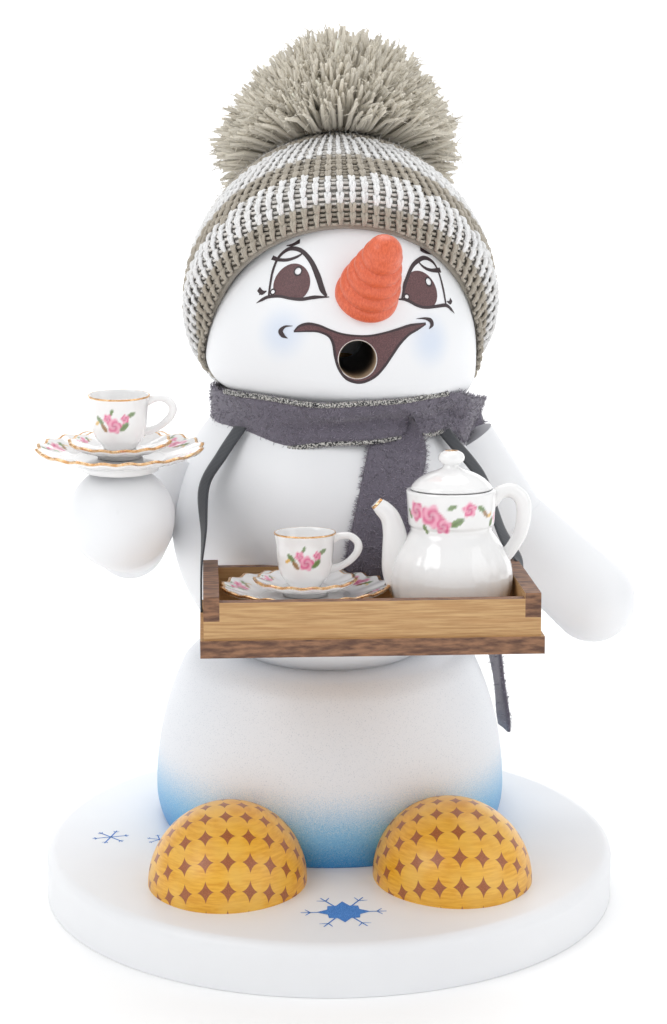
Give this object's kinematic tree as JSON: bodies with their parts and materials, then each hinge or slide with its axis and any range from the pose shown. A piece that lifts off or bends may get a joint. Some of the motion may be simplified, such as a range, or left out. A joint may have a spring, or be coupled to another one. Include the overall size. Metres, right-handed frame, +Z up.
{
  "type": "wooden snowman figure",
  "caption": "Turned wooden snowman incense smoker in a knitted pompom hat and scarf, holding a tea tray; the upper body lifts off to load the cone.",
  "frame": {"origin": "centre of the base disc's underside", "axes": "+Z up; the figure faces -Y, and its own left is +X"},
  "size_m": [0.1138, 0.108, 0.1615],
  "materials": {
    "white_paint": "matt white sprayed paint on turned wood, blue sprayed foot",
    "bare_wood": "unfinished beech",
    "amber_stained_wood": "amber stained and lacquered, brown printed stars",
    "coral_stained_wood": "coral stained and lacquered",
    "tinplate": "pressed tin",
    "tray_wood": "light wood with darkened laser-cut edges",
    "ribbon": "woven charcoal ribbon",
    "porcelain": "glazed, pink rose transfers and gold rims",
    "scarf_felt": "short-pile grey felt",
    "knit_wool": "rib-knitted wool in taupe and white stripes",
    "pompom_yarn": "cut wool yarn"
  },
  "bodies": {
    "lower": {"base_disc": "white_paint", "lower_body": "white_paint", "body_dowel": "bare_wood", "left_foot": "amber_stained_wood", "right_foot": "amber_stained_wood", "burner_dish": "tinplate", "dish_tack": "tinplate"},
    "upper": {"upper_body": "white_paint", "neck_tube": "bare_wood", "head": "white_paint", "nose": "coral_stained_wood", "right_upper_arm": "white_paint", "right_forearm": "white_paint", "left_upper_arm": "white_paint", "left_forearm": "white_paint", "shoulder_dowels": "bare_wood", "tray_floor": "tray_wood", "tray_front_rail": "tray_wood", "tray_back_rail": "tray_wood", "tray_ends": "tray_wood", "tray_strap": "ribbon", "teapot_body": "porcelain", "tray_plate": "porcelain", "tray_saucer": "porcelain", "tray_cup": "porcelain", "hand_plate": "porcelain", "hand_saucer": "porcelain", "hand_cup": "porcelain", "scarf": "scarf_felt", "hat": "knit_wool", "pompom": "pompom_yarn", "pompom_tie": "pompom_yarn"},
    "lid": {"teapot_lid": "porcelain"}
  },
  "joints": [
    {"name": "upper_lift", "type": "slide", "parent": "lower", "child": "upper", "axis": [0, 0, 1], "range_m": [0, 0.045]},
    {"name": "lid_lift", "type": "slide", "parent": "upper", "child": "lid", "axis": [0, 0.0698, 0.9976], "range_m": [0, 0.012]}
  ]
}
